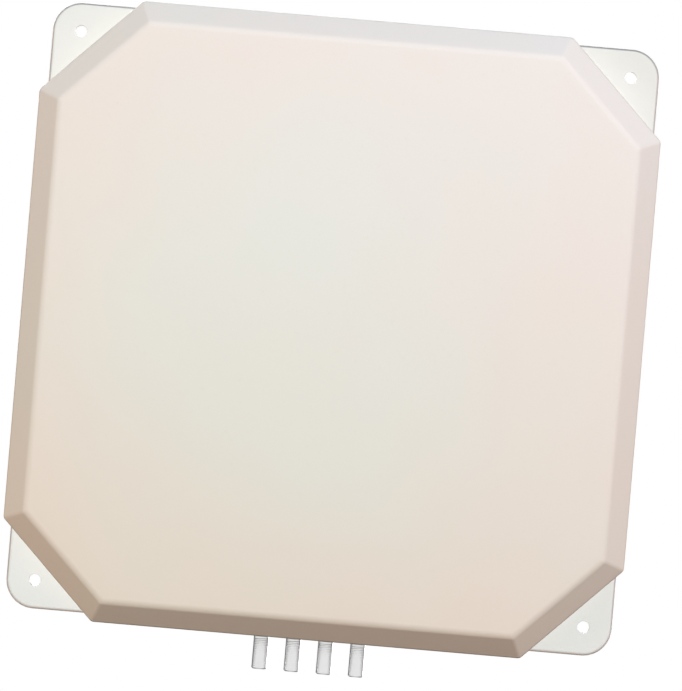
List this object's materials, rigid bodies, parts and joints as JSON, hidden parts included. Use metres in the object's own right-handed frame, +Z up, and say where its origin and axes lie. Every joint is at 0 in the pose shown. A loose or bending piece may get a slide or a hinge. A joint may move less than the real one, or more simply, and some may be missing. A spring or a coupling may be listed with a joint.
{
  "type": "panel antenna",
  "caption": "Flat square panel antenna for a security gate: bevelled eight-sided radome on a thin mounting plate with corner holes, coaxial jacks in a row below.",
  "frame": {"origin": "centre of the square of four mounting holes, in the mounting plane (the rear face of the back plate)", "axes": "+Y out of the back of the plate into the wall, -Y out of the radome's face, +Z up the panel, jacks point down -Z, +X to the right as seen from in front"},
  "size_m": [0.26, 0.033, 0.274],
  "materials": {
    "plate_paint": "satin",
    "radome_plastic": "satin",
    "seal_rubber": "matte",
    "screw_steel": "satin",
    "jack_nickel": "satin",
    "ptfe": "matte",
    "contact_gold": "polished",
    "bracket_aluminium": "satin",
    "patch_brass": "satin",
    "feed_copper": "polished",
    "nylon": "matte",
    "label_foil": "satin"
  },
  "bodies": {
    "root": {"back_plate": "plate_paint", "radome": "radome_plastic", "radome_gasket": "seal_rubber", "cover_screws": "screw_steel", "connector_bracket": "bracket_aluminium", "bracket_screws": "screw_steel", "bracket_nuts": "screw_steel", "port_1_jack": "jack_nickel", "port_2_jack": "jack_nickel", "port_3_jack": "jack_nickel", "port_4_jack": "jack_nickel", "port_1_insulator": "ptfe", "port_2_insulator": "ptfe", "port_3_insulator": "ptfe", "port_4_insulator": "ptfe", "port_1_contact": "contact_gold", "port_2_contact": "contact_gold", "port_3_contact": "contact_gold", "port_4_contact": "contact_gold", "port_nuts": "jack_nickel", "port_lock_washers": "screw_steel", "port_seal": "seal_rubber", "patch_1": "patch_brass", "patch_2": "patch_brass", "patch_3": "patch_brass", "patch_4": "patch_brass", "patch_posts": "screw_steel", "patch_screws": "screw_steel", "patch_spacers": "nylon", "feed_cable_1": "feed_copper", "feed_cable_2": "feed_copper", "feed_cable_3": "feed_copper", "feed_cable_4": "feed_copper", "feed_ferrules": "jack_nickel", "feed_pins": "feed_copper", "cable_clips": "nylon", "vent_membrane": "ptfe", "rear_label": "label_foil"}
  },
  "joints": []
}
